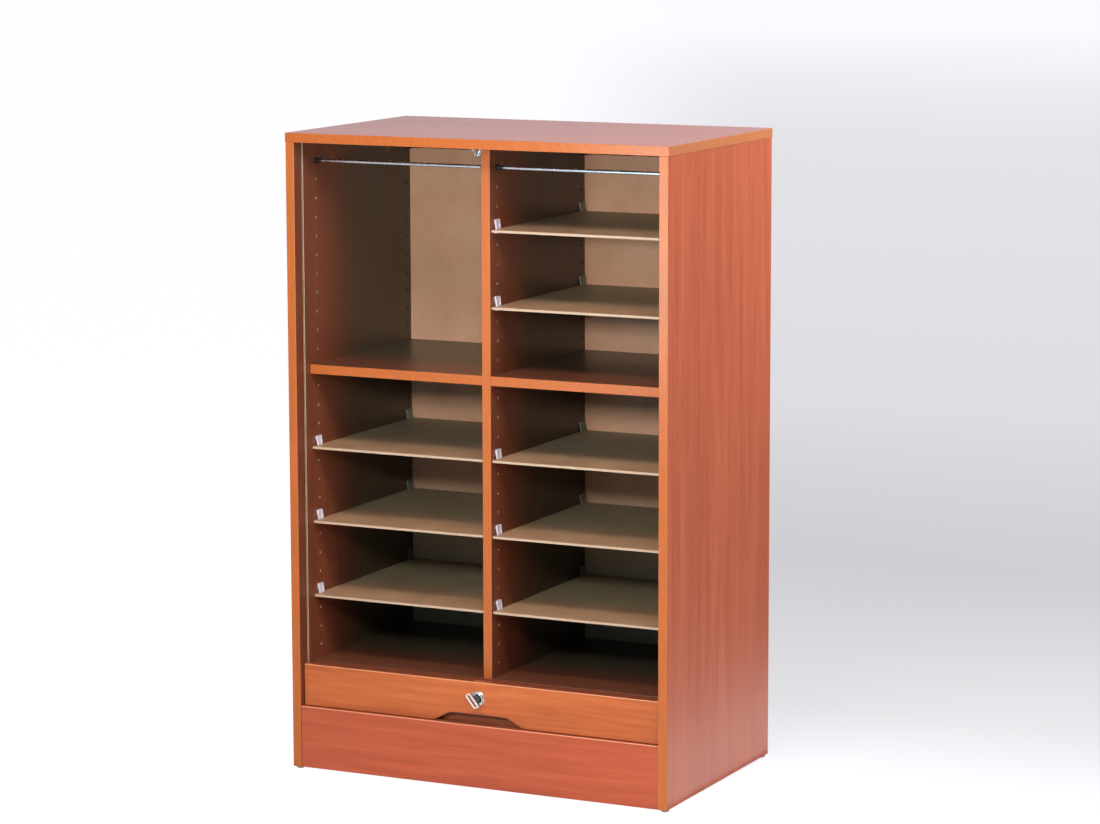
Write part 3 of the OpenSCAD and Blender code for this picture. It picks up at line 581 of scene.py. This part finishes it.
def camera():
    yaw, pitch, roll = (math.radians(v) for v in (25.9677, -8.7378, -0.1429))
    cy, sy = math.cos(yaw), math.sin(yaw)
    fw = Vector((-sy * math.cos(pitch), cy * math.cos(pitch), math.sin(pitch)))
    rt = Vector((cy, sy, 0.0))
    up = rt.cross(fw)
    r2 = rt * math.cos(roll) + up * math.sin(roll)
    u2 = -rt * math.sin(roll) + up * math.cos(roll)
    data = bpy.data.cameras.new("camera")
    data.sensor_fit = "HORIZONTAL"
    data.sensor_width = 36.0
    data.lens = 3688.7 / 1100.0 * 36.0
    data.clip_start = 0.05
    data.clip_end = 200.0
    obj = bpy.data.objects.new("camera", data)
    bpy.context.scene.collection.objects.link(obj)
    m = Matrix((r2, u2, -fw)).transposed().to_4x4()
    m.translation = Vector((2.7390, -5.5411, 1.5609))
    obj.matrix_world = m
    bpy.context.scene.camera = obj
    return obj


camera()

# --------------------------------------------------------------------------- floor, world and lights


# painted shade that the backdrop glows with right of and behind the cabinet: (depth in metres, tone)
BACKDROP_SHADE = ((-0.10, 1.0), (0.10, 0.87), (0.62, 0.66), (1.96, 0.585), (4.1, 0.725), (7.7, 0.755), (12.8, 0.78), (17.0, 0.84), (24.0, 0.96))


def floor():
    mesh = bpy.data.meshes.new("studio_floor")
    n, R = 96, 60.0
    verts = [(R * math.cos(2 * math.pi * k / n), R * math.sin(2 * math.pi * k / n), 0.0) for k in range(n)]
    mesh.from_pydata(verts, [], [list(range(n))])
    obj = bpy.data.objects.new("studio_floor", mesh)
    bpy.context.scene.collection.objects.link(obj)
    t = Tree("studio_floor")
    n1 = t.noise(t.pos(), 3.0, 2.0, 0.5)
    seen = t.nt.nodes.new("ShaderNodeLightPath").outputs["Is Camera Ray"]
    paper = t.mix(n1, (0.86, 0.86, 0.87, 1.0), (0.88, 0.88, 0.885, 1.0))
    t.set(Base_Color=t.mix(seen, paper, t.mix(1.0, paper, (0.25, 0.25, 0.25, 1.0), "MULTIPLY")), Roughness=0.55)
    t.bsdf.inputs["Specular IOR Level"].default_value = 0.0
    t.bsdf.inputs["Emission Color"].default_value = (0.965, 0.955, 1.0, 1.0)
    x, y, z = t.xyz(t.pos())
    # white on the left, greyer towards the right; the change is wider farther away
    side = t.math("ADD", t.math("MULTIPLY", x, 0.926), t.math("MULTIPLY", y, 0.376))
    far = t.math("MAXIMUM", y, 0.0)
    start = t.math("SUBTRACT", -0.10, t.math("MULTIPLY", far, 0.085))
    right = t.math("DIVIDE", t.math("SUBTRACT", side, start), t.math("ADD", 0.50, t.math("MULTIPLY", far, 0.080)), clamp=True)
    right = t.span(right, 0.0, 1.0, smooth=True)
    lo, hi = BACKDROP_SHADE[0][0], BACKDROP_SHADE[-1][0]
    backdrop_grey_shade = t.ramp(t.span(t.math("SQRT", t.span(y, lo, hi, 0.0, 1.0)), 0.0, 1.0),
                  [(math.sqrt((d - lo) / (hi - lo)), (v, v, v)) for d, v in BACKDROP_SHADE])
    tone = t.mix(right, (1.0, 1.0, 1.0, 1.0), backdrop_grey_shade)
    r, _, _ = t.xyz(tone)
    # the floor glows with this tone for the camera only and lights nothing: a painted backdrop, whose grey right of the
    # cabinet is painted shade
    t.set(Emission_Strength=t.math("MULTIPLY", t.math("SUBTRACT", t.math("MULTIPLY", r, 1.05), 0.06), seen))
    mesh.materials.append(t.mat)
    obj.visible_glossy = False
    return obj


floor()


# what shiny surfaces see in front of the cabinet and behind it: (height of the direction, colour)
SHINY_FRONT = ((-1.0, (0.90, 0.90, 0.92)), (-0.25, (0.80, 0.80, 0.82)), (-0.19, (0.50, 0.50, 0.51)), (-0.12, (0.30, 0.30, 0.31)),
               (-0.03, (0.24, 0.24, 0.25)), (0.04, (0.34, 0.33, 0.35)), (0.12, (0.70, 0.66, 0.70)), (0.40, (0.74, 0.70, 0.74)),
               (1.0, (0.60, 0.60, 0.62)))
SHINY_BACK = ((-1.0, (0.50, 0.50, 0.51)), (-0.25, (0.30, 0.30, 0.31)), (-0.19, (0.12, 0.12, 0.13)), (-0.12, (0.18, 0.18, 0.19)),
              (-0.06, (0.28, 0.28, 0.29)), (0.04, (0.40, 0.38, 0.40)), (0.11, (0.92, 0.80, 0.86)), (0.40, (0.80, 0.72, 0.77)),
              (1.0, (0.60, 0.60, 0.62)))


def world():
    w = bpy.data.worlds.new("studio_world")
    bpy.context.scene.world = w
    w.use_nodes = True
    nt = w.node_tree
    nt.nodes.clear()
    out = nt.nodes.new("ShaderNodeOutputWorld")
    seen = nt.nodes.new("ShaderNodeBackground")
    seen.inputs[0].default_value = (0.97, 0.97, 0.975, 1.0)
    seen.inputs[1].default_value = 1.0
    lit = nt.nodes.new("ShaderNodeBackground")
    lit.inputs[0].default_value = (0.97, 0.98, 1.0, 1.0)
    lit.inputs[1].default_value = 0.135
    shiny = nt.nodes.new("ShaderNodeBackground")
    tc = nt.nodes.new("ShaderNodeTexCoord")
    sep = nt.nodes.new("ShaderNodeSeparateXYZ")
    nt.links.new(tc.outputs["Generated"], sep.inputs[0])
    half = nt.nodes.new("ShaderNodeMath")
    half.operation = "MULTIPLY_ADD"
    nt.links.new(sep.outputs[2], half.inputs[0])
    half.inputs[1].default_value = 0.5
    half.inputs[2].default_value = 0.5
    pair = []
    for stops in (SHINY_FRONT, SHINY_BACK):
        grad = nt.nodes.new("ShaderNodeValToRGB")
        nt.links.new(half.outputs[0], grad.inputs[0])
        e = grad.color_ramp.elements
        while len(e) < len(stops):
            e.new(0.5)
        for el, (h, c) in zip(e, stops):
            el.position = h * 0.5 + 0.5
            el.color = (*c, 1.0)
        pair.append(grad.outputs[0])
    behind = nt.nodes.new("ShaderNodeMath")
    behind.operation = "MULTIPLY_ADD"
    behind.use_clamp = True
    nt.links.new(sep.outputs[1], behind.inputs[0])
    behind.inputs[1].default_value = 3.0
    behind.inputs[2].default_value = 0.5
    both = nt.nodes.new("ShaderNodeMix")
    both.data_type = "RGBA"
    nt.links.new(behind.outputs[0], both.inputs[0])
    colours = [k for k in both.inputs if k.type == "RGBA"]
    nt.links.new(pair[0], colours[0])
    nt.links.new(pair[1], colours[1])
    nt.links.new([k for k in both.outputs if k.type == "RGBA"][0], shiny.inputs[0])
    shiny.inputs[1].default_value = 1.0
    lp = nt.nodes.new("ShaderNodeLightPath")
    m1 = nt.nodes.new("ShaderNodeMixShader")
    nt.links.new(lp.outputs["Is Glossy Ray"], m1.inputs[0])
    nt.links.new(lit.outputs[0], m1.inputs[1])
    nt.links.new(shiny.outputs[0], m1.inputs[2])
    m2 = nt.nodes.new("ShaderNodeMixShader")
    nt.links.new(lp.outputs["Is Camera Ray"], m2.inputs[0])
    nt.links.new(m1.outputs[0], m2.inputs[1])
    nt.links.new(seen.outputs[0], m2.inputs[2])
    nt.links.new(m2.outputs[0], out.inputs[0])


world()


def aim(obj, at, target):
    d = Vector(target) - Vector(at)
    obj.location = at
    obj.rotation_euler = d.to_track_quat("-Z", "Y").to_euler()


def area(name, at, target, size, size_y, power, color=(1.0, 1.0, 1.0), spread=180.0):
    data = bpy.data.lights.new(name, "AREA")
    data.shape = "RECTANGLE"
    data.spread = math.radians(spread)
    data.size = size
    data.size_y = size_y
    data.energy = power
    data.color = color
    obj = bpy.data.objects.new(name, data)
    bpy.context.scene.collection.objects.link(obj)
    aim(obj, at, target)
    obj.visible_camera = False
    return obj


def sun(name, azimuth, elevation, strength, angle, color=(1.0, 1.0, 1.0)):
    data = bpy.data.lights.new(name, "SUN")
    data.energy = strength
    data.angle = math.radians(angle)
    data.color = color
    obj = bpy.data.objects.new(name, data)
    bpy.context.scene.collection.objects.link(obj)
    a, e = math.radians(azimuth), math.radians(elevation)
    at = Vector((math.sin(a) * math.cos(e), -math.cos(a) * math.cos(e), math.sin(e))) * 5.0
    aim(obj, at, (0.0, 0.0, 0.0))
    return obj


# Low lights in front, right of the middle: they reach the back panel between the trays and leave
# the left bay's back in the divider's shade. The room itself is dim.
WARM = (1.0, 0.985, 0.965)
for name, x, z, w, h, power in (("key_a", 0.075, 1.13, 0.35, 0.17, 10.3), ("key_b", 0.45, 1.13, 0.30, 0.17, 4.25),
                                ("key_c", 0.775, 1.13, 0.35, 0.17, 3.6), ("key_d", 0.775, 1.46, 0.35, 0.30, 2.7),
                                ("key_e", 1.85, 1.38, 0.70, 0.40, 1.5)):
    key = area(name, (x, -1.895, z), (0.0, 0.20, 0.75), w, h, power, WARM)
    # the outer ones stay out of the mirror image that the top shows from behind
    key.visible_glossy = name in ("key_a", "key_b")
# high lights in front: each tray shades the one below it, from about 100 mm behind its front edge
for name, x, w, power in (("top_a", 0.3, 0.4, 6.0), ("top_b", 1.3, 0.6, 4.2), ("top_c", 2.0, 0.8, 1.9)):
    area(name, (x, -1.155, 1.93), (x * 0.6, -0.10, 0.60), w, 0.34, power, WARM)
area("top_low", (0.35, -1.155, 1.93), (0.10, -0.10, 0.20), 0.8, 0.34, 0.9, WARM, 75.0)
# the right side panel is brightest at its top rear corner
fill = area("fill_top_right", (1.3, 0.6, 1.7), (0.35, 0.05, 0.85), 0.6, 0.6, 22.5, (1.0, 0.99, 0.98))
fill.visible_glossy = False
sun("right_low", 78.0, 15.0, 0.77, 14.0)
# soft light from the left, for the side that the picture doesn't show; it only grazes the fronts
sun("left_low", 272.0, 8.0, 0.75, 14.0)
glint = area("foot_glint", (0.47, 0.35, 0.004), (0.47, 0.35, 1.0), 0.22, 1.4, 0.95, (0.88, 0.96, 1.0))
glint.visible_diffuse = False
sheen = area("sheen_left", (-0.116, -1.268, 0.804), (0.36, -0.20, 0.93), 0.26, 0.34, 3.7, (0.35, 0.88, 1.0))
sheen.visible_diffuse = False

scene = bpy.context.scene
scene.view_settings.view_transform = "Standard"
scene.view_settings.look = "None"
scene.view_settings.exposure = 0.0
scene.view_settings.gamma = 1.0
